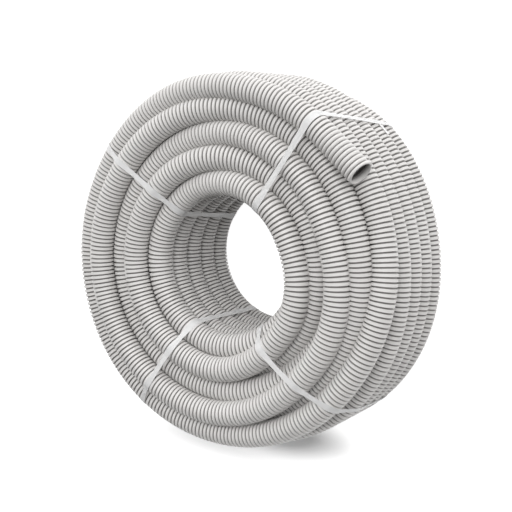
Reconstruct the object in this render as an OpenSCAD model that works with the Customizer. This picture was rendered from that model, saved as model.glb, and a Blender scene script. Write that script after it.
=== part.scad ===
// Corrugated conduit: one length of flexible ribbed conduit, wound into a flat-ended coil
// and tied with four straps. The coil lies on its back end, with its axis along Z and its
// free end in front, on top. The origin is on the floor under its middle. Millimetres and
// degrees; a direction round the coil is clockwise from +Y, seen from the front.

/* [Conduit] */
// Outside diameter over the ribs
conduit_od = 32; // [25:0.5:40]
// Spacing of the ribs along the conduit
rib_pitch = 5.6; // [5:0.1:8]
// Width of the groove between two ribs, at its mouth
groove_w = 2.4; // [1.8:0.1:3]
// Width that each side of a groove slopes over
groove_slope = 0.6; // [0.2:0.1:0.8]
// Depth of the grooves
groove_depth = 2.1; // [1:0.1:2.5]
// Thickness of the corrugated wall
wall = 0.9; // [0.6:0.1:1.4]

/* [Coil] */
// Clear radius of the coil's bore
bore_r = 87; // [60:1:150]
// Layers of turns, from the bore to the rim
layers = 5; // [3:2:7]
// Turns side by side in a full layer
turns = 6; // [4:1:8]
// Gap between neighbouring turns of one layer
turn_gap = 0.2; // [0.1:0.1:3]
// Gap between the turns of neighbouring layers
layer_gap = 1.0; // [0.4:0.1:2]
// How far out of their middles the wound turns are joined up
valley_fill = 4; // [3:0.5:6]

/* [Free end] */
// Angle from the middle of the first strap to where the free end straightens
leave_angle = 4; // [2.5:0.5:12]
// Ribs on the straight stretch of the free end
free_ribs = 10; // [5:1:14]
// Width of the smooth rim at the cut
rim_w = 3.4; // [2:0.1:6]
// Angle from the middle of the second strap to where the last turn starts to climb
climb_start_angle = 8; // [6:1:12]
// Angle over which the last turn climbs in front of the turn behind it
climb_angle = 56; // [40:1:58]

/* [Straps] */
// Width of a strap
strap_w = 9.5; // [5:0.5:14]
// Thickness of a strap
strap_t = 0.6; // [0.4:0.1:1.5]
// Gap between a strap and the turns that it ties
strap_gap = 0.15; // [0.1:0.05:0.5]
// Direction of the strap beside the free end
upper_right_angle = 35.5; // [25:0.5:60]
// Direction of the strap below it
lower_right_angle = 137; // [120:1:138]
// Direction of the strap at the lower left
lower_left_angle = 210; // [208:1:240]
// Direction of the strap at the upper left
upper_left_angle = 311; // [290:1:330]

/* [Hidden] */
$fn = 64;

conduit_r = conduit_od / 2;
turn_pitch = conduit_od + turn_gap;
half_step = turn_pitch / 2;  // every second layer lies in the valleys of the one below
layer_pitch = sqrt(pow(conduit_od + layer_gap, 2) - pow(half_step, 2));
half_span = (turns - 1) * half_step;
last = layers - 1;
front_z = half_span;         // middle of the last turn, in front of the others of its layer
strap_proud = strap_gap + strap_t;
lift = half_span + conduit_r + strap_proud;  // the coil lies on its straps
climb_lap = 0.6;             // angle by which the climb runs on into the last turn
leave_at = upper_right_angle + leave_angle;
climb_from = lower_right_angle + climb_start_angle;
climb_to = climb_from + climb_angle;

// Middle of a layer's turns, outwards from the coil's axis
function turn_r(layer) = bore_r + conduit_r + layer * layer_pitch;
// Turns in a layer: full ones alternate with ones that have a turn fewer
function turns_in(layer) = turns - layer % 2;
// Middle of a layer's end turns, along the coil's axis from the middle of its width
function back_z(layer) = (turns_in(layer) - 1) * half_step;
// Closed turns in a layer: the last turn of the last layer is the open one
function closed_turns(layer) = turns_in(layer) - (layer == last ? 1 : 0);
function closed_z(layer) = back_z(layer) - (layer == last ? turn_pitch : 0);

// Lifts what is drawn round the middle of the coil's width onto the floor
module on_end() { translate([0, 0, lift]) children(); }
// Turns +Y to a direction round the coil
module toward(direction) { rotate([0, 0, -direction]) children(); }
// Revolves a section clockwise from one direction to another
module sweep(from, to) {
  toward(to - 90) rotate_extrude(angle = to - from, $fn = 180) children();
}

// The closed turns and what joins them, as one section with the coil's axis at x = 0
module wound_section() {
  for (layer = [0 : last], turn = [0 : closed_turns(layer) - 1])
    translate([turn_r(layer), turn * turn_pitch - back_z(layer)]) circle(r = conduit_r);
  inner = turn_r(0) - valley_fill;
  outer = turn_r(last) + valley_fill;
  polygon(concat(
    [[inner, -back_z(0)], [inner, closed_z(0)]],
    [for (layer = [0 : last]) [turn_r(layer), closed_z(layer) + valley_fill]],
    [[outer, closed_z(last)], [outer, -back_z(last)]],
    [for (layer = [last : -1 : 0]) [turn_r(layer), -back_z(layer) - valley_fill]]
  ));
}

// The last turn and what joins it to the two turns that it lies against
module last_turn_section() {
  r = turn_r(last);
  translate([r, front_z]) circle(r = conduit_r);
  polygon([
    [r, front_z + valley_fill],
    [r + valley_fill, front_z],
    [r + valley_fill, front_z - turn_pitch],
    [turn_r(last - 1), front_z - half_step],
    [turn_r(last - 1), front_z - half_step + valley_fill]
  ]);
}

// The stretch in which the last turn climbs from the turn behind it to the front
module climb() {
  half = climb_angle / 2;
  tilt = asin(half_step / (turn_r(last) * sin(half)));
  toward(climb_from + half)
    translate([0, 0, front_z - half_step]) rotate([0, -tilt, 0])
      sweep(-half, half + climb_lap) translate([turn_r(last), 0]) circle(r = conduit_r);
}

// One side of the free end's wall: ribs and grooves up the Z axis, moved in by an inset
// measured square to the surface
function ribbed_line(inset) =
  let (
    turn_in = inset * tan(atan2(groove_depth, groove_slope) / 2),
    crest = conduit_r - inset,
    root = conduit_r - groove_depth - inset,
    rib_w = rib_pitch - groove_w
  )
  [for (rib = [0 : free_ribs - 1], z0 = [rib * rib_pitch]) each [
    [crest, z0 + rib_w - turn_in],
    [root, z0 + rib_w + groove_slope - turn_in],
    [root, z0 + rib_pitch - groove_slope + turn_in],
    [crest, z0 + rib_pitch + turn_in]
  ]];

// The straight free end: solid where it leaves the coil, then an open corrugated tube
module free_end() {
  end_z = free_ribs * rib_pitch + rim_w;
  inner_line = ribbed_line(wall);
  bore_line = [for (i = [4 : len(inner_line) - 1]) inner_line[i]];
  toward(leave_at) translate([0, turn_r(last), front_z]) rotate([0, 90, 0])
    rotate_extrude() difference() {
      polygon(concat([[0, 0], [conduit_r, 0]], ribbed_line(0),
                     [[conduit_r, end_z], [0, end_z]]));
      polygon(concat([[0, bore_line[0][1]]], bore_line,
                     [[conduit_r - wall, end_z + 1], [0, end_z + 1]]));
    }
}

module conduit() {
  color("gainsboro") on_end() union() {
    rotate_extrude($fn = 180) wound_section();
    sweep(climb_to, leave_at + 360) last_turn_section();
    climb();
    free_end();
  }
}

// A convex outline through turn middles, set off from them by a distance
module wrap(middles, distance) {
  polygon(middles);
  for (i = [0 : len(middles) - 1]) {
    a = middles[i];
    b = middles[(i + 1) % len(middles)];
    out = [b[1] - a[1], a[0] - b[0]] * distance / norm(b - a);
    polygon([a, a + out, b + out, b]);
    translate(a) circle(r = distance);
  }
}

// A strap drawn tight round the section. Past the climb it goes over the last turn, and
// before it, slanting over the turns behind.
module strap(direction) {
  over_last_turn = direction > climb_to || direction < leave_at;
  front = over_last_turn
    ? [[turn_r(last), front_z]]
    : [[turn_r(last), closed_z(last)], [turn_r(last - 2), back_z(last - 2)]];
  middles = concat([[turn_r(0), -back_z(0)], [turn_r(last), -back_z(last)]], front,
                   [[turn_r(0), back_z(0)]]);
  color("whitesmoke") on_end() toward(direction - 90)
    rotate([90, 0, 0]) linear_extrude(strap_w, center = true) difference() {
      wrap(middles, conduit_r + strap_proud);
      wrap(middles, conduit_r + strap_gap);
    }
}

conduit();
strap(upper_right_angle);  // strap_upper_right
strap(lower_right_angle);  // strap_lower_right
strap(lower_left_angle);  // strap_lower_left
strap(upper_left_angle);  // strap_upper_left
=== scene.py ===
# %% [markdown]
# # A tied coil of corrugated conduit
#
# The object is one long ribbed pipe of grey PVC, wound in five layers, tied in four places
# with thin plastic film, and lying on one of its ends. The solids come from the frame: they
# give the true reach of the coil, the place of the free end and the four straps. What they
# leave out is made here: every rib of every turn, and the way in which the turns really lie.
#
# Everything is in metres, with +Z along the coil's axis, towards the end that faces up.

# %% Load the frame
import math

import bpy
import numpy as np
from mathutils import Matrix, Vector


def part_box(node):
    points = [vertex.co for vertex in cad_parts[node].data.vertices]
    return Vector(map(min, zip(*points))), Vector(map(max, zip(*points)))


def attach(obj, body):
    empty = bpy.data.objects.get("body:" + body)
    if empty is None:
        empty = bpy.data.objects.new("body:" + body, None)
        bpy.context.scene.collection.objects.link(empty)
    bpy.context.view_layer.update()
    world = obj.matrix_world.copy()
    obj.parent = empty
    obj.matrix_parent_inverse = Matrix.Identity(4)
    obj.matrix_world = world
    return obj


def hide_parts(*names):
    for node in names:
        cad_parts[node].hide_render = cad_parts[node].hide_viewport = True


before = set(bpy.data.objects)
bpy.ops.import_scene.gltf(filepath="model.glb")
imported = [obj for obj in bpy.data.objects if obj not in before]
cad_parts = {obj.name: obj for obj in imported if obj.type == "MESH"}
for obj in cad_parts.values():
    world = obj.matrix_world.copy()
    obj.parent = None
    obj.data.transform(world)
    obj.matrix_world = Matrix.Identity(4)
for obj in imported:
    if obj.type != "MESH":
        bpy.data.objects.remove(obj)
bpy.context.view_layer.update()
MM = 0.001

# %% [markdown]
# ## Small helpers
#
# Every material and node tree below is built from single nodes. One helper adds a node, sets
# its settings and makes its links, so that a tree reads as a list of steps. Colours are
# written as sRGB hex values, as in any paint program, and turned to linear light once. A last
# helper shows a finished mesh and hides the frame's solids that it stands in for.

# %% Helpers for nodes, colours and pieces
def colour(code):
    """An sRGB hex value as linear light."""
    parts = [int(code[i:i + 2], 16) / 255 for i in (1, 3, 5)]
    linear = [v / 12.92 if v <= 0.04045 else ((v + 0.055) / 1.055) ** 2.4 for v in parts]
    return (*linear, 1.0)


def feed(tree, socket, value):
    """Links an input to another node's output, or sets it to a constant."""
    if isinstance(value, bpy.types.NodeSocket):
        tree.links.new(value, socket)
    else:
        socket.default_value = value


def add(tree, kind, settings=None, **links):
    """Adds a node. A link's name is the input's name, or its number after an underscore."""
    node = tree.nodes.new(kind)
    for name, value in (settings or {}).items():
        setattr(node, name, value)
    for name, value in links.items():
        key = int(name[1:]) if name[0] == "_" and name[1:].isdigit() else name.replace("_", " ")
        feed(tree, node.inputs[key], value)
    return node


def new_material(name):
    """A material with an empty node tree, and that tree."""
    material = bpy.data.materials.new(name)
    material.use_nodes = True
    material.node_tree.nodes.clear()
    return material, material.node_tree


def show(mesh, slot_name, *nodes):
    """Shows a finished mesh in place of the frame's nodes."""
    piece = bpy.data.objects.new(mesh.name, mesh)
    bpy.context.scene.collection.objects.link(piece)
    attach(piece, "root")
    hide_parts(*nodes)


print("mid grey is", [round(v, 3) for v in colour("#808080")], "in linear light")

# %% [markdown]
# ## Sizes that the coil is made from
#
# Corrugated conduit is extruded as a smooth pipe and blown into ring moulds while it is soft,
# which leaves broad flat crests and narrow grooves. All of these sizes are of 32 mm conduit;
# crest and root are radii.

# %% Sizes of the conduit
CREST = 16.0 * MM
GROOVE_DEPTH = 2.1 * MM
ROOT = CREST - GROOVE_DEPTH
WALL = 0.9 * MM
PITCH = 5.6 * MM
SLOPE = 0.6 * MM
GROOVE_FLOOR = 1.2 * MM
CREST_WIDTH = PITCH - GROOVE_FLOOR - 2 * SLOPE

conduit_low, conduit_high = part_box("conduit")
FRONT = conduit_high.z - CREST
BACK = conduit_low.z + CREST
print(f"centres of the turns lie from {BACK / MM:.1f} to {FRONT / MM:.1f} mm above the floor")

# %% [markdown]
# ## How the turns lie
#
# A layer is a helix, and the next layer is a helix that runs back the other way. Two helices
# of opposite hand can't nest all the way round, so on a real coil they nest for most of each
# turn, with every turn in the valley of the layer below, and then slip across each other in
# one short stretch, where the coil bulges a little. At the two ends of the coil the conduit
# climbs to the next layer.
#
# One curve for the whole conduit could be drawn by hand, but then no two layers would fit
# each other. Instead a few rules give each point its height and its radius, from how many
# turns of the layer have been made. Angles run clockwise from +Y, as seen from above.

# %% Where the turns climb and slip
LAYERS, TURNS = 5, 6
CLIMB_AT = 123.5  # up to the next layer, at the front
BACK_CLIMB_AT = 345.7  # up to the next layer, at the back
SLIP_AT = 2.0  # across the turns of the layer below
LEAVE_AT = 39.5  # where the free end leaves the circle
SLIP_REACH = 90.0 / 360
CLIMB_SLIP_REACH = 110.5 / 360
CLIMB_REACH = 63.0 / 360


def ease(x):
    """From 0 to 1, with a soft start and a soft end."""
    x = np.clip(x, 0, 1)
    return x * x * (3 - 2 * x)


def share(angle):
    """The share of a turn from where the layers climb to an angle."""
    return ((angle - CLIMB_AT) % 360) / 360


def advance(turns):
    """Turns made, to pitches advanced: flat where the layers nest, steep where they slip."""
    whole = np.floor(turns)
    t = turns - whole
    slip = 0.5 * ease((t - share(SLIP_AT)) / SLIP_REACH + 0.5)
    after_climb = 0.5 * (ease(t / CLIMB_SLIP_REACH + 0.5) - 0.5)
    before_climb = 0.5 * ease((t - 1) / CLIMB_SLIP_REACH + 0.5)
    return whole + slip + after_climb + before_climb


print("pitches advanced, by quarters of a turn:", np.round(advance(np.linspace(0, 1, 5)), 2))

# %% [markdown]
# A level is a turn's depth behind the front, counted in pitches. At either end of the coil
# the conduit can't go further than the end itself, so the levels flatten out there. The rim's
# front turn also lies a little deeper just before it comes up to the free end.

# %% How far back a turn lies
FRONT_LEVEL, BACK_LEVEL, BACK_EASE = 0.2, 5.27, 0.08
FRONT_DIP, FRONT_DIP_REACH = 0.35, 60.0 / 360
AXIAL_PITCH = (FRONT - BACK) / (BACK_LEVEL - FRONT_LEVEL)


def settled(level):
    """Pitches behind the front, rounded off where the conduit turns back at either end."""
    lifted = np.sqrt(level ** 2 + FRONT_LEVEL ** 2) - level
    level = level + lifted * np.clip(1 - level, 0, 1)
    return 0.5 * (level + BACK_LEVEL - np.sqrt((level - BACK_LEVEL) ** 2 + BACK_EASE ** 2))


print(f"turns of a layer are {AXIAL_PITCH / MM:.1f} mm apart")

# %% [markdown]
# Where layers slip, a turn rides up on the turns below, so each layer stands a little further
# out than in the nest. At the climb only the turns behind the front ones do, because those in
# front have room to give way. The coil is also a little thicker on one side than on the other.

# %% How far out a turn lies
BORE_TURN = 103.6 * MM
NESTED_STEP = 27.8 * MM
SLIP_BULGE, SLIP_BULGE_REACH = 2.9 * MM, 77.5
CLIMB_BULGE, CLIMB_BULGE_REACH = 2.2 * MM, 58.0
CLIMB_BULGE_AT = CLIMB_AT + 10
CLIMB_BULGE_LEVELS = (0.5, 2.0)
OFF_CENTRE = (-1.09 * MM, -0.57 * MM)


def bump(angle, middle, reach):
    """One smooth bump round the coil, from 0 to 1 and back to 0."""
    off = ((angle - middle + 180) % 360 - 180) / reach
    return np.where(abs(off) < 1, 0.5 + 0.5 * np.cos(np.pi * off), 0)


def layer_step(angle, level):
    """How far one layer's turns lie outside those of the layer below."""
    round_it = np.radians(angle)
    uneven = OFF_CENTRE[0] * np.sin(round_it) + OFF_CENTRE[1] * np.cos(round_it)
    start, full = CLIMB_BULGE_LEVELS
    inside = ease((level - start) / (full - start))
    return (NESTED_STEP + uneven + SLIP_BULGE * bump(angle, SLIP_AT, SLIP_BULGE_REACH)
            + CLIMB_BULGE * inside * bump(angle, CLIMB_BULGE_AT, CLIMB_BULGE_REACH))


print(f"a layer adds {layer_step(SLIP_AT, 1.0) / MM:.1f} mm where it slips, "
      f"{layer_step(SLIP_AT + 180, 1.0) / MM:.1f} mm across the coil from there")

# %% [markdown]
# The free end has to meet the frame's own free end, so over the last part of the last turn
# the rules give way to the frame: the conduit comes up to the front and out to the radius
# from which the free end leaves in a straight line.

# %% Follow the rules along each layer
FREE_TURN = conduit_high.x - CREST
SETTLE_REACH = 110.0 / 360
POINTS_A_TURN = 240
BACK_CLIMB = share(BACK_CLIMB_AT)
LEAVE = TURNS - 1 + share(LEAVE_AT)


def layer_range(layer):
    """First and last count of turns in a layer. Odd layers wind forwards, even ones back."""
    if layer % 2 == 0:
        return 0.0, TURNS - 1 + BACK_CLIMB
    return BACK_CLIMB, LEAVE if layer == LAYERS else float(TURNS)


def winding(layer, turns):
    """Centres of the conduit in a layer, as an array of points."""
    first, last = layer_range(layer)
    angle = CLIMB_AT + 360 * turns
    level = advance(turns) if layer % 2 == 0 else TURNS - advance(turns)
    if layer == LAYERS:
        level = level - FRONT_DIP * ease(1 - abs(turns - TURNS + 1) / FRONT_DIP_REACH)
    level = settled(level)
    step = layer_step(angle, level)
    radius = BORE_TURN + (layer - 1) * step
    if layer > 1:
        radius = radius - 0.5 * step * ease(1 - (turns - first) / CLIMB_REACH)
    if layer < LAYERS:
        radius = radius + 0.5 * step * ease(1 - (last - turns) / CLIMB_REACH)
    else:
        near_end = ease(1 - (last - turns) / SETTLE_REACH)
        level = level + (FRONT_LEVEL - level) * near_end
        radius = radius + (FREE_TURN - radius) * near_end
    height = FRONT - (level - FRONT_LEVEL) * AXIAL_PITCH
    round_it = np.radians(angle)
    return np.stack([radius * np.sin(round_it), radius * np.cos(round_it), height], -1)


for layer in range(1, LAYERS + 1):
    first, last = layer_range(layer)
    print(f"layer {layer} is wound from {first:.2f} to {last:.2f} turns")

# %% [markdown]
# The layers are joined end to end into one route, and the length is summed up along it, so
# that ribs can be counted off on it from the inner end of the conduit to the free end.

# %% Join the layers into one route
route, marks = [], {}
for layer in range(1, LAYERS + 1):
    first, last = layer_range(layer)
    turns = np.linspace(first, last, int((last - first) * POINTS_A_TURN) + 1)
    points = winding(layer, turns)
    begins = sum(len(part) for part in route)
    if route:  # a layer starts at the point where the last one ended
        begins, points = begins - 1, points[1:]
    marks[layer] = (begins, turns)
    route.append(points)
route = np.concatenate(route)
along = np.concatenate([[0], np.cumsum(np.linalg.norm(np.diff(route, axis=0), axis=1))])


def length_at(layer, turns):
    """Length of conduit from its inner end to a count of turns in a layer."""
    start, counts = marks[layer]
    return float(np.interp(turns, counts, along[start:start + len(counts)]))


print(f"the conduit is {along[-1]:.2f} m long, in {LAYERS} layers")

# %% [markdown]
# ## The camera
#
# The coil lies on its end, so the camera looks down on it, to one side of the axis, with a
# long lens from about 1.3 m. The floor fills the picture behind the coil. The camera is first
# placed to one side of +Z and +Y, and then swung round the coil's axis as a whole.

# %% Place the camera
AZIMUTH, ELEVATION, ROLL = math.radians(32.0), math.radians(6.84), math.radians(-0.99)
DISTANCE = 1.333
TARGET = Vector((-0.0017, 0.0029, 0.0885))
SWUNG_ROUND = math.radians(4.3)
FOCAL, SENSOR = 71.5, 36.0

back = Vector((math.sin(AZIMUTH) * math.cos(ELEVATION), math.sin(ELEVATION),
               math.cos(AZIMUTH) * math.cos(ELEVATION)))
right = Vector((math.cos(AZIMUTH), 0, -math.sin(AZIMUTH)))
up = back.cross(right)
rolled_right = right * math.cos(ROLL) + up * math.sin(ROLL)
rolled_up = back.cross(rolled_right)
camera_data = bpy.data.cameras.new("camera")
camera_data.lens = FOCAL
camera_data.sensor_width = SENSOR
camera = bpy.data.objects.new("camera", camera_data)
turn = Matrix((rolled_right, rolled_up, back)).transposed().to_4x4()
placed = Matrix.Translation(TARGET + back * DISTANCE) @ turn
camera.matrix_world = Matrix.Rotation(SWUNG_ROUND, 4, "Z") @ placed
bpy.context.scene.collection.objects.link(camera)
bpy.context.scene.camera = camera
print("camera at", [round(v, 3) for v in camera.location])

# %% [markdown]
# ## PVC, extruded and blown into ring moulds
#
# Rigid PVC of this kind is a pale, slightly warm grey, satin rather than glossy. The mould
# leaves it smooth, with faint streaks and clouds in the colour, and handling dulls the crests
# unevenly. That grain is drawn 3 mm wide, coarser than the real one, so that it shows. The
# material reads an attribute that the ribs carry, 1 in the grooves, and is darker there: this
# is partly dust and partly painted shade, on top of the shade that the ribs really cast.

# %% Material of the conduit
CLOUD_SIZE = 60 * MM
GRAIN_SIZE, GRAIN_HEIGHT, GRAIN_STRENGTH = 3 * MM, 0.05 * MM, 0.25
SATIN, DULL = 0.38, 0.52
PVC_IOR = 1.53
GROOVE_FALLOFF = 2.0  # keeps the dust and painted shade at the floor of a groove


def pvc_material():
    """Pale grey PVC, darker in the grooves."""
    material, tree = new_material("pvc_extruded_and_corrugated")
    place = add(tree, "ShaderNodeTexCoord").outputs["Object"]
    cloud = add(tree, "ShaderNodeTexNoise", Vector=place, Scale=1 / CLOUD_SIZE, Detail=3.0)
    grain = add(tree, "ShaderNodeTexNoise", Vector=place, Scale=1 / GRAIN_SIZE, Detail=4.0)
    clouded = add(tree, "ShaderNodeMix", {"data_type": "RGBA"}, _0=cloud.outputs["Fac"],
                  _6=colour("#D3D1CF"), _7=colour("#E1DFDD"))
    # Dark grey where the mark is 1, in the grooves and inside the free end: dust and painted shade.
    groove = add(tree, "ShaderNodeAttribute", {"attribute_name": "groove"}).outputs["Fac"]
    deep = add(tree, "ShaderNodeMath", {"operation": "POWER"}, _0=groove,
               _1=GROOVE_FALLOFF)
    body = add(tree, "ShaderNodeMix", {"data_type": "RGBA"}, _0=deep.outputs[0],
               _6=clouded.outputs[2], _7=colour("#6C6967"))
    rough = add(tree, "ShaderNodeMapRange", Value=grain.outputs["Fac"], _3=SATIN, _4=DULL)
    uneven = add(tree, "ShaderNodeBump", Height=grain.outputs["Fac"], Strength=GRAIN_STRENGTH,
                 Distance=GRAIN_HEIGHT)
    shader = add(tree, "ShaderNodeBsdfPrincipled", Base_Color=body.outputs[2],
                 Roughness=rough.outputs[0], Normal=uneven.outputs[0], IOR=PVC_IOR)
    add(tree, "ShaderNodeOutputMaterial", Surface=shader.outputs[0])
    return material


pvc = pvc_material()
print("made", pvc.name)

# %% [markdown]
# ## The ribs, in Geometry Nodes
#
# There are more than four thousand ribs, so they follow a rule. The tree takes the route as a
# curve, lays rings across it at four places in each rib (where the slope begins, the two
# edges of the crest, and where the floor of the groove begins), and gives each ring the
# radius of the crest or of the groove. Curve to Mesh then joins the rings into one skin, and
# edges with a sharp bend are marked sharp, so that the crests look flat and not puffed up. A
# displaced smooth tube would need far more faces for the same steps.

# %% Rules for one ring
RINGS_A_RIB = 4


def ring_values(tree, given):
    """A ring's place along the conduit, its radius, and its mark for dust and painted shade: 1 in a
    groove, 0 on a crest.
    """
    index = add(tree, "GeometryNodeInputIndex").outputs[0]
    ribs_and_part = add(tree, "ShaderNodeMath", {"operation": "DIVIDE"}, _0=index,
                        _1=RINGS_A_RIB)
    rib = add(tree, "ShaderNodeMath", {"operation": "FLOOR"}, _0=ribs_and_part.outputs[0])
    rings_before = add(tree, "ShaderNodeMath", {"operation": "MULTIPLY"}, _0=rib.outputs[0],
                       _1=RINGS_A_RIB)
    ring = add(tree, "ShaderNodeMath", {"operation": "SUBTRACT"}, _0=index,
               _1=rings_before.outputs[0])
    crest_end = add(tree, "ShaderNodeMath", {"operation": "ADD"}, _0=given["Slope"],
                    _1=given["Crest Width"])
    foot = add(tree, "ShaderNodeMath", {"operation": "ADD"}, _0=crest_end.outputs[0],
               _1=given["Slope"])
    low, high = given["Groove Radius"], given["Crest Radius"]
    by_ring = {"within": (0.0, given["Slope"], crest_end.outputs[0], foot.outputs[0]),
               "radius": (low, high, high, low),
               "groove": (1.0, 0.0, 0.0, 1.0)}
    chosen = {}
    for name, values in by_ring.items():
        switch = add(tree, "GeometryNodeIndexSwitch", {"data_type": "FLOAT"},
                     Index=ring.outputs[0])
        while len(switch.index_switch_items) < RINGS_A_RIB:
            switch.index_switch_items.new()
        for number, value in enumerate(values):
            feed(tree, switch.inputs[number + 1], value)
        chosen[name] = switch.outputs[0]
    start = add(tree, "ShaderNodeMath", {"operation": "ADD"}, _0=given["Start"],
                _1=chosen["within"])
    length = add(tree, "ShaderNodeMath", {"operation": "MULTIPLY_ADD"}, _0=rib.outputs[0],
                 _1=given["Pitch"], _2=start.outputs[0])
    return length.outputs[0], chosen["radius"], chosen["groove"]


print("rings of a rib, in mm along it:",
      [round(at / MM, 1) for at in (0, SLOPE, SLOPE + CREST_WIDTH, CREST_WIDTH + 2 * SLOPE)])

# %% [markdown]
# The rings begin as points on a plain line, as many as there are rings. Each point is moved
# to its place on the route, and a circle is swept along them, scaled to each ring's radius.

# %% Build the tree
CRISP_ANGLE = math.radians(40)


def ribbed_tree():
    """The tree that makes ribbed conduit along a route."""
    tree = bpy.data.node_groups.new("ribbed_conduit", "GeometryNodeTree")
    face = tree.interface
    face.new_socket(name="Route", in_out="INPUT", socket_type="NodeSocketGeometry")
    for name, kind in (("Ribs", "Int"), ("Start", "Float"), ("Pitch", "Float"),
                       ("Slope", "Float"), ("Crest Width", "Float"), ("Crest Radius", "Float"),
                       ("Groove Radius", "Float"), ("Sides", "Int"), ("Material", "Material")):
        face.new_socket(name=name, in_out="INPUT", socket_type="NodeSocket" + kind)
    face.new_socket(name="Conduit", in_out="OUTPUT", socket_type="NodeSocketGeometry")
    given = add(tree, "NodeGroupInput").outputs
    length, radius, groove = ring_values(tree, given)
    rings = add(tree, "ShaderNodeMath", {"operation": "MULTIPLY_ADD"}, _0=given["Ribs"],
                _1=RINGS_A_RIB, _2=1).outputs[0]
    line = add(tree, "GeometryNodeCurvePrimitiveLine")
    points = add(tree, "GeometryNodeResampleCurve", Curve=line.outputs[0], Count=rings)
    place = add(tree, "GeometryNodeSampleCurve", {"mode": "LENGTH"}, Curves=given["Route"],
                Length=length)
    rail = add(tree, "GeometryNodeSetPosition", Geometry=points.outputs[0],
               Position=place.outputs["Position"])
    # Each ring keeps its mark for the dust and painted shade of the grooves.
    marked = add(tree, "GeometryNodeStoreNamedAttribute",
                 {"data_type": "FLOAT", "domain": "POINT"},
                 Geometry=rail.outputs[0], Name="groove", Value=groove)
    ring_shape = add(tree, "GeometryNodeCurvePrimitiveCircle", Resolution=given["Sides"],
                     Radius=1.0)
    skin = add(tree, "GeometryNodeCurveToMesh", Curve=marked.outputs[0],
               Profile_Curve=ring_shape.outputs[0], Scale=radius, Fill_Caps=True)
    smooth = add(tree, "GeometryNodeSetShadeSmooth", Geometry=skin.outputs[0])
    bend = add(tree, "GeometryNodeInputMeshEdgeAngle").outputs["Unsigned Angle"]
    crisp = add(tree, "FunctionNodeCompare", {"operation": "GREATER_THAN"}, _0=bend,
                _1=CRISP_ANGLE)
    edged = add(tree, "GeometryNodeSetShadeSmooth", {"domain": "EDGE"},
                Geometry=smooth.outputs[0], Selection=crisp.outputs[0], Shade_Smooth=False)
    real = add(tree, "GeometryNodeRealizeInstances", Geometry=edged.outputs[0])
    dressed = add(tree, "GeometryNodeSetMaterial", Geometry=real.outputs[0],
                  Material=given["Material"])
    add(tree, "NodeGroupOutput", Conduit=dressed.outputs[0])
    return tree


ribs_tree = ribbed_tree()
print("the tree has", len(ribs_tree.nodes), "nodes")

# %% [markdown]
# The route is handed to the tree as a plain curve of straight pieces. The modifier's inputs
# are set before it is first run. Its result is copied to a plain mesh, and the curve's holder
# is removed.

# %% Lay ribs on a stretch of the route
curve_data = bpy.data.curves.new("route", "CURVE")
curve_data.dimensions = "3D"
spline = curve_data.splines.new("POLY")
spline.points.add(len(route) - 1)
spline.points.foreach_set("co", np.column_stack([route, np.ones(len(route))]).ravel())
print("the route has", len(route), "points")


def ribbed_stretch(name, first_rib, ribs, sides):
    """One stretch of the conduit as a plain mesh."""
    holder = bpy.data.objects.new("route_of_" + name, curve_data)
    bpy.context.scene.collection.objects.link(holder)
    modifier = holder.modifiers.new("ribs", "NODES")
    modifier.node_group = ribs_tree
    values = {"Ribs": ribs, "Start": FIRST_RIB_AT + first_rib * PITCH, "Pitch": PITCH,
              "Slope": SLOPE, "Crest Width": CREST_WIDTH, "Crest Radius": CREST,
              "Groove Radius": ROOT, "Sides": sides, "Material": pvc}
    for item in ribs_tree.interface.items_tree:
        if item.in_out == "INPUT" and item.name in values:
            modifier[item.identifier] = values[item.name]
    seen = holder.evaluated_get(bpy.context.evaluated_depsgraph_get())
    mesh = bpy.data.meshes.new_from_object(seen)
    mesh.name = name
    bpy.data.objects.remove(holder)
    show(mesh, "conduit_pvc", "conduit")
    mesh.calc_loop_triangles()
    print(f"{name}: {ribs} ribs, {len(mesh.loop_triangles)} triangles")


# %% [markdown]
# ## Which turns get how many sides
#
# Turns that can be seen have 28 sides. The turns inside the coil are only glimpsed through
# gaps, so they have 10. A stretch runs on from the one before it, up to a layer and a count
# of turns in it, and ends at the floor of a groove, so the seams between stretches don't show.

# %% Make the turns
SHOWN_SIDES, HIDDEN_SIDES = 28, 10
STRETCHES = (
    ("bore_turns", 2, 1.0, SHOWN_SIDES),
    ("hidden_turns_2", 2, 4.6, HIDDEN_SIDES),
    ("back_turns_2_3", 3, 1.6, SHOWN_SIDES),
    ("hidden_turns_3", 3, 5.0, HIDDEN_SIDES),
    ("front_turns_3_4", 4, 1.0, SHOWN_SIDES),
    ("hidden_turns_4", 4, 4.6, HIDDEN_SIDES),
    ("back_turns_4_5", 5, 2.6, SHOWN_SIDES),
    ("rim_turns", 5, LEAVE, SHOWN_SIDES),
)
total_ribs = int((along[-1] - SLOPE) / PITCH)
FIRST_RIB_AT = along[-1] - SLOPE - total_ribs * PITCH
next_rib = 0
for name, layer, turns, sides in STRETCHES:
    last_rib = round((length_at(layer, turns) - FIRST_RIB_AT) / PITCH)
    last_rib = min(last_rib, total_ribs)
    ribbed_stretch(name, next_rib, last_rib - next_rib, sides)
    next_rib = last_rib
print("ribs in all:", total_ribs)

# %% [markdown]
# ## The free end
#
# The last stretch has come loose from the circle and points straight out, cut off across a
# crest, so a short smooth rim is left and the inside of the ribs shows in its mouth. It is
# turned like a vase: one closed outline, out along the ribs and back along their inside,
# spun round the axis. The cut was made by hand, so it is a little askew.

# %% The outline of the free end
FREE_RIBS = 10
RIM_WIDTH = 3.4 * MM
LIP = 2.3 * MM  # thickness of the wall at the cut


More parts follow.
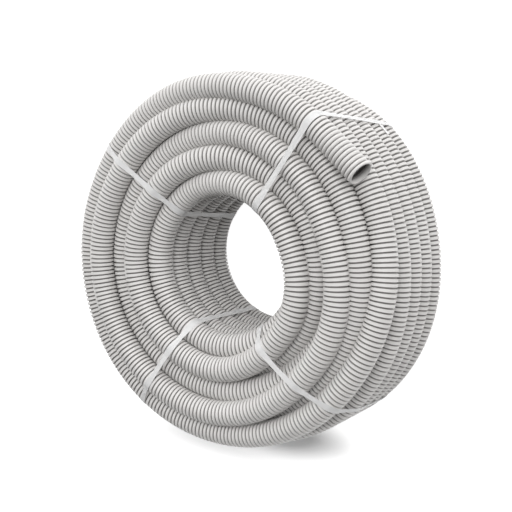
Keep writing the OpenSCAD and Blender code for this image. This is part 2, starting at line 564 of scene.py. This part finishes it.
def free_outline():
    """The closed outline as (along, radius): out along the ribs, back along their inside."""
    outer = [(-SLOPE, ROOT)]
    for number in range(FREE_RIBS):
        x = number * PITCH
        outer += [(x, CREST), (x + CREST_WIDTH, CREST),
                  (x + CREST_WIDTH + SLOPE, ROOT), (x + PITCH - SLOPE, ROOT)]
    rim = FREE_RIBS * PITCH
    outer += [(rim, CREST), (rim + RIM_WIDTH, CREST)]
    corner_shift = WALL * math.tan(math.atan2(GROOVE_DEPTH, SLOPE) / 2)
    inner = []
    for number, (x, r) in enumerate(outer):
        wall = LIP if x >= rim else WALL
        if 0 < number < len(outer) - 1:
            low = r == ROOT
            slope_before = low != (outer[number - 1][1] == ROOT)
            x = x - corner_shift if slope_before == low else x + corner_shift
        inner.append((x, r - wall))
    return outer + inner[::-1]


outline = free_outline()
print("the outline of the free end has", len(outline), "points")

# %% [markdown]
# Only points past the middle of the rim move when the cut is made askew, so the ribs stay as
# they are.

# %% Turn the free end
CUT_SKEW = 0.125  # slope of the cut
CUT_SHIFT = 1.5 * MM  # how much longer the end is in its middle
CUT_TOWARDS = Vector((0.30, 0.36, 0.88))  # the side on which it is shortest
MOUTH_AT = FREE_RIBS * PITCH + RIM_WIDTH / 2
LATHE_STEPS = 72


def turned(name, outline, steps, origin, axis):
    """A closed outline of (along, radius), spun round an axis and cut askew at the mouth."""
    side = axis.orthogonal().normalized()
    other = axis.cross(side)
    vertices = []
    for step in range(steps):
        angle = 2 * math.pi * step / steps
        outwards = side * math.cos(angle) + other * math.sin(angle)
        askew = CUT_SHIFT - CUT_SKEW * CREST * outwards.dot(CUT_TOWARDS)
        vertices += [origin + axis * (x + askew * (x > MOUTH_AT)) + outwards * r
                     for x, r in outline]
    count = len(outline)
    faces = []
    for step in range(steps):
        here, there = step * count, (step + 1) % steps * count
        for i in range(count):
            j = (i + 1) % count
            faces.append((here + i, there + i, there + j, here + j))
    mesh = bpy.data.meshes.new(name)
    mesh.from_pydata([tuple(v) for v in vertices], [], faces)
    return mesh


leave_angle = math.radians(LEAVE_AT)
leave_point = Vector((FREE_TURN * math.sin(leave_angle), FREE_TURN * math.cos(leave_angle), FRONT))
straight = Vector((math.cos(leave_angle), -math.sin(leave_angle), 0))
end_mesh = turned("free_end", outline, LATHE_STEPS, leave_point, straight)
end_mesh.materials.append(pvc)
groove_mark = end_mesh.attributes.new("groove", "FLOAT", "POINT")
inside_from = len(outline) // 2 + 1  # the inside gets the dust and painted shade too, up to the lip
shade = [float(r == ROOT or i >= inside_from) for i, (_, r) in enumerate(outline)]
groove_mark.data.foreach_set("value", shade * LATHE_STEPS)
for polygon in end_mesh.polygons:
    polygon.use_smooth = True
show(end_mesh, "conduit_pvc", "conduit")
print("free end:", len(end_mesh.polygons), "faces")

# %% [markdown]
# ## The straps
#
# Each strap is a band of thin stretched film, drawn tight round the section of the coil and
# welded to itself. It touches the turns that stick out and bridges the valleys between them
# in straight lines, where it also draws in a little. So its line is found as a tailor's tape
# would find it: in every direction of the section, it lies on the turn that reaches furthest.
# A strap is pulled tight by hand and lies askew, so it has a direction of its own at each of
# the four corners of its loop.

# %% Where the straps cross the turns
# Directions at the rim and at the bore, first in front and then at the back.
STRAPS = {"strap_upper_right": ((34.0, 34.5), (38.0, 36.0)),
          "strap_lower_right": ((132.5, 141.5), (136.5, 139.0)),
          "strap_lower_left": ((210.5, 207.5), (210.0, 204.0)),
          "strap_upper_left": ((306.5, 311.5), (309.0, 300.5))}
PLACE_TRIES = 4


def strap_angle(lie, radius, height):
    """Direction of a strap at a place, from its directions at the four corners of its loop."""
    (rim_front, bore_front), (rim_back, bore_back) = lie
    outwards = (radius - BORE_TURN) / (FREE_TURN - BORE_TURN)
    depth = (FRONT - height) / (FRONT - BACK)
    at_rim = rim_front + (rim_back - rim_front) * depth
    at_bore = bore_front + (bore_back - bore_front) * depth
    return at_bore + (at_rim - at_bore) * outwards


def section(lie):
    """Radius and height of every turn where a strap crosses it, found in a few tries."""
    found = []
    for layer in range(1, LAYERS + 1):
        first, last = layer_range(layer)
        for whole in range(TURNS):
            radius, height = FREE_TURN, (FRONT + BACK) / 2
            for _ in range(PLACE_TRIES):
                turns = whole + share(strap_angle(lie, radius, height))
                x, y, height = winding(layer, np.array([turns]))[0]
                radius = math.hypot(x, y)
            if first <= turns <= last:
                found.append((radius, height))
    return np.array(found)


for node, lie in STRAPS.items():
    print(node, "crosses", len(section(lie)), "turns")

# %% [markdown]
# The film lies a little off the crests, and is narrowest in the middle of each bridge. Long
# bridges are cut into short steps, so that they can be drawn in smoothly.

# %% Find the line of a strap
FILM_WIDTH = 8.8 * MM
FILM_THICKNESS = 0.2 * MM
FILM_GAP = 0.25 * MM
NARROWING = 0.25
DIRECTIONS = 360
LONGEST_STEP = 4 * MM


def strap_line(lie):
    """Points of the film's inner face, the way out from the turns there, and its width."""
    centres = section(lie)
    angles = np.linspace(0, 2 * math.pi, DIRECTIONS, endpoint=False)
    out = np.column_stack([np.cos(angles), np.sin(angles)])
    furthest = (centres @ out.T).argmax(axis=0)
    places = centres[furthest] + out * (CREST + FILM_GAP)
    line = []
    for i in range(DIRECTIONS):
        here, there = places[i], places[(i + 1) % DIRECTIONS]
        steps = max(1, math.ceil(np.linalg.norm(there - here) / LONGEST_STEP))
        for step in range(steps):
            part = step / steps
            normal = out[i] * (1 - part) + out[(i + 1) % DIRECTIONS] * part
            draw_in = NARROWING * math.sin(math.pi * part)
            line.append((here * (1 - part) + there * part, normal, FILM_WIDTH * (1 - draw_in)))
    return line


for node, lie in STRAPS.items():
    loop = np.array([place for place, _, _ in strap_line(lie)])
    around = np.linalg.norm(loop - np.roll(loop, 1, axis=0), axis=1).sum()
    print(f"{node} is {around:.2f} m long")

# %% [markdown]
# Polypropylene film is cloudy white and lets some of what is behind it show through. It was
# stretched as it was tied, which leaves a soft gloss, with uneven patches about 12 mm long.

# %% Material of the straps
FILM_CLOUD, FILM_DENT, DENT_STRENGTH = 12 * MM, 0.3 * MM, 0.3
FILM_ALPHA = 0.6
FILM_IOR = 1.49
FILM_ROUGHNESS = 0.35


def film_material():
    """Cloudy white film that lets what is behind it through."""
    material, tree = new_material("polypropylene_film_stretched")
    place = add(tree, "ShaderNodeTexCoord").outputs["Object"]
    cloud = add(tree, "ShaderNodeTexNoise", Vector=place, Scale=1 / FILM_CLOUD, Detail=4.0)
    body = add(tree, "ShaderNodeMix", {"data_type": "RGBA"}, _0=cloud.outputs["Fac"],
               _6=colour("#F0F0F0"), _7=colour("#FCFCFC"))
    uneven = add(tree, "ShaderNodeBump", Height=cloud.outputs["Fac"],
                 Strength=DENT_STRENGTH, Distance=FILM_DENT)
    shader = add(tree, "ShaderNodeBsdfPrincipled", Base_Color=body.outputs[2],
                 Roughness=FILM_ROUGHNESS, IOR=FILM_IOR, Alpha=FILM_ALPHA,
                 Normal=uneven.outputs[0])
    add(tree, "ShaderNodeOutputMaterial", Surface=shader.outputs[0])
    return material


film = film_material()
print("made", film.name)

# %% [markdown]
# Each point of the line gives a small flat section of the film with four corners, and the
# sections are joined in a ring, so a strap is a closed band with a real thickness.

# %% Make the straps
def band_faces(a, b):
    """The four sides of a flat band between two of its sections of four points."""
    return [(a, a + 1, b + 1, b), (a + 3, a + 2, b + 2, b + 3),
            (a + 2, a, b, b + 2), (a + 1, a + 3, b + 3, b + 1)]


def strap_mesh(name, lie):
    """A strap as a closed band."""
    vertices, faces = [], []
    line = strap_line(lie)
    for place, normal, width in line:
        angle = math.radians(strap_angle(lie, *place))
        outwards = Vector((math.sin(angle), math.cos(angle), 0))
        across = Vector((math.cos(angle), -math.sin(angle), 0))
        for thickness in (0, FILM_THICKNESS):
            radius, height = place + normal * thickness
            middle = outwards * radius + Vector((0, 0, height))
            vertices += [middle - across * width / 2, middle + across * width / 2]
    count = len(line)
    for i in range(count):
        faces += band_faces(4 * i, 4 * ((i + 1) % count))
    mesh = bpy.data.meshes.new(name)
    mesh.from_pydata([tuple(v) for v in vertices], [], faces)
    mesh.materials.append(film)
    return mesh


for node, lie in STRAPS.items():
    mesh = strap_mesh(node + "_film", lie)
    show(mesh, "strap_film", node)
    print(node, len(mesh.polygons), "faces")

# %% [markdown]
# The film of the upper right strap ends in a short loose tail, which lies on the rim and
# points clockwise. It follows the crests of the turn under it.

# %% The loose tail of one strap
TAIL_FROM, TAIL_TO, TAIL_STEPS = 38.0, 42.6, 10
TAIL_WIDTH, TAIL_LIFT = 6.5 * MM, 0.5 * MM
vertices, faces = [], []
for step in range(TAIL_STEPS + 1):
    angle = TAIL_FROM + (TAIL_TO - TAIL_FROM) * step / TAIL_STEPS
    x, y, height = winding(LAYERS, np.array([1 + share(angle)]))[0]
    radius = math.hypot(x, y)
    lifted = 1 + (CREST + 2 * FILM_GAP + TAIL_LIFT * step / TAIL_STEPS) / radius
    for outer in (0, FILM_THICKNESS / radius):
        for side in (-0.5, 0.5):
            vertices.append((x * (lifted + outer), y * (lifted + outer), height + side * TAIL_WIDTH))
for step in range(TAIL_STEPS):
    faces += [face[::-1] for face in band_faces(4 * step, 4 * step + 4)]
tip = 4 * TAIL_STEPS
faces += [(1, 3, 2, 0), (tip + 2, tip + 3, tip + 1, tip)]
tail_mesh = bpy.data.meshes.new("strap_upper_right_tail")
tail_mesh.from_pydata(vertices, [], faces)
tail_mesh.materials.append(film)
show(tail_mesh, "strap_film", "strap_upper_right")
print("tail:", len(faces), "faces")

# %% [markdown]
# ## Floor
#
# The floor is matt white paper. To the camera it also glows, so that it comes out white where
# little shadow falls. Gloss and see-through film show that glow too. In two soft patches
# beside the coil it glows less. The lamp's shadow falls there, but the patches are a painted
# shadow: they make the floor darker there and give the shadow its shape.

# %% Material of the floor
FLOOR_GLOW = 0.9
# Middle and reach of each patch of painted shadow in metres, and how much less the floor glows in
# it.
PAINTED_SHADOW_UNDER_RIM = ((0.01, -0.262, 0), (0.165, 0.046, 1), 1.05)
PAINTED_SHADOW_BESIDE = ((-0.13, -0.30, 0), (0.26, 0.050, 1), 0.65)


def seen_white(tree):
    """1 for what the camera sees, also in gloss or through film, and otherwise 0."""
    path = add(tree, "ShaderNodeLightPath").outputs
    indirect = add(tree, "ShaderNodeMath", {"operation": "MAXIMUM"},
                   _0=path["Is Glossy Ray"], _1=path["Is Transmission Ray"])
    return add(tree, "ShaderNodeMath", {"operation": "MAXIMUM"}, _0=path["Is Camera Ray"],
               _1=indirect.outputs[0]).outputs[0]


def shaded(tree, middle, reach, amount):
    """A patch of painted shadow: how much less the floor glows round a place, fading out at its
    reach.
    """
    place = add(tree, "ShaderNodeTexCoord").outputs["Object"]
    away = add(tree, "ShaderNodeVectorMath", {"operation": "SUBTRACT"}, _0=place, _1=middle)
    scaled = add(tree, "ShaderNodeVectorMath", {"operation": "DIVIDE"}, _0=away.outputs[0],
                 _1=reach)
    far = add(tree, "ShaderNodeVectorMath", {"operation": "LENGTH"}, _0=scaled.outputs[0])
    return add(tree, "ShaderNodeMapRange", {"interpolation_type": "SMOOTHSTEP"},
               Value=far.outputs["Value"], _1=0.0, _2=1.0, _3=amount, _4=0.0).outputs[0]


def paper_material():
    """White paper that glows to the camera, less so in the two patches of painted shadow."""
    material, tree = new_material("white_paper")
    less = add(tree, "ShaderNodeMath", {"operation": "ADD"},
               _0=shaded(tree, *PAINTED_SHADOW_UNDER_RIM), _1=shaded(tree, *PAINTED_SHADOW_BESIDE))
    strength = add(tree, "ShaderNodeMath", {"operation": "SUBTRACT", "use_clamp": True},
                   _0=FLOOR_GLOW, _1=less.outputs[0])
    seen = add(tree, "ShaderNodeMath", {"operation": "MULTIPLY"}, _0=strength.outputs[0],
               _1=seen_white(tree))
    glow = add(tree, "ShaderNodeEmission", Color=colour("#FFFFFF"), Strength=seen.outputs[0])
    matt = add(tree, "ShaderNodeBsdfDiffuse", Color=colour("#F0F0F0"))
    both = add(tree, "ShaderNodeAddShader", _0=glow.outputs[0], _1=matt.outputs[0])
    add(tree, "ShaderNodeOutputMaterial", Surface=both.outputs[0])
    return material


paper = paper_material()
print("made", paper.name)

# %% [markdown]
# The floor is one large square at the height that the coil lies on.

# %% The floor
FLOOR_SIZE = 8.0
half = FLOOR_SIZE / 2
floor_mesh = bpy.data.meshes.new("floor")
floor_mesh.from_pydata([(-half, -half, 0), (half, -half, 0), (half, half, 0), (-half, half, 0)],
                       [], [(0, 1, 2, 3)])
floor_mesh.materials.append(paper)
floor = bpy.data.objects.new("floor", floor_mesh)
bpy.context.scene.collection.objects.link(floor)
print(f"floor: {FLOOR_SIZE} m square")

# %% [markdown]
# ## Light
#
# The light is that of a plain white studio. It comes in full from the side of +Y and fades to
# none on the side of -Y, so the turns there are darker. One large soft lamp high above, a
# little towards +X and +Y, throws the soft shadow. To the camera the world is plain white.

# %% World and lamp
AMBIENT_LOW, AMBIENT_HIGH = 0.0, 1.42
LOW_FROM, HIGH_FROM = -0.42, 0.34
LAMP_TOWARDS = Vector((0.3, 0.4, 1.0)).normalized()
LAMP_DISTANCE, LAMP_SIZE, LAMP_POWER = 2.2, 0.9, 11.0

world = bpy.data.worlds.new("studio")
bpy.context.scene.world = world
world.use_nodes = True
tree = world.node_tree
tree.nodes.clear()
towards = add(tree, "ShaderNodeTexCoord").outputs["Generated"]
y = add(tree, "ShaderNodeSeparateXYZ", Vector=towards).outputs[1]
level = add(tree, "ShaderNodeMapRange", Value=y, _1=LOW_FROM, _2=HIGH_FROM, _3=AMBIENT_LOW,
            _4=AMBIENT_HIGH)
ambient = add(tree, "ShaderNodeBackground", Color=colour("#FFFFFF"), Strength=level.outputs[0])
white = add(tree, "ShaderNodeBackground", Color=colour("#FFFFFF"), Strength=1.0)
shown = add(tree, "ShaderNodeMixShader", _0=seen_white(tree), _1=ambient.outputs[0],
            _2=white.outputs[0])
add(tree, "ShaderNodeOutputWorld", Surface=shown.outputs[0])

lamp_data = bpy.data.lights.new("key", "AREA")
lamp_data.shape = "DISK"
lamp_data.size = LAMP_SIZE
lamp_data.energy = LAMP_POWER
lamp = bpy.data.objects.new("key", lamp_data)
lamp.matrix_world = (Matrix.Translation(LAMP_TOWARDS * LAMP_DISTANCE)
                     @ LAMP_TOWARDS.to_track_quat("Z", "Y").to_matrix().to_4x4())
bpy.context.scene.collection.objects.link(lamp)
bpy.context.scene.view_settings.view_transform = "Standard"
print("lamp at", [round(v, 2) for v in lamp.matrix_world.translation])
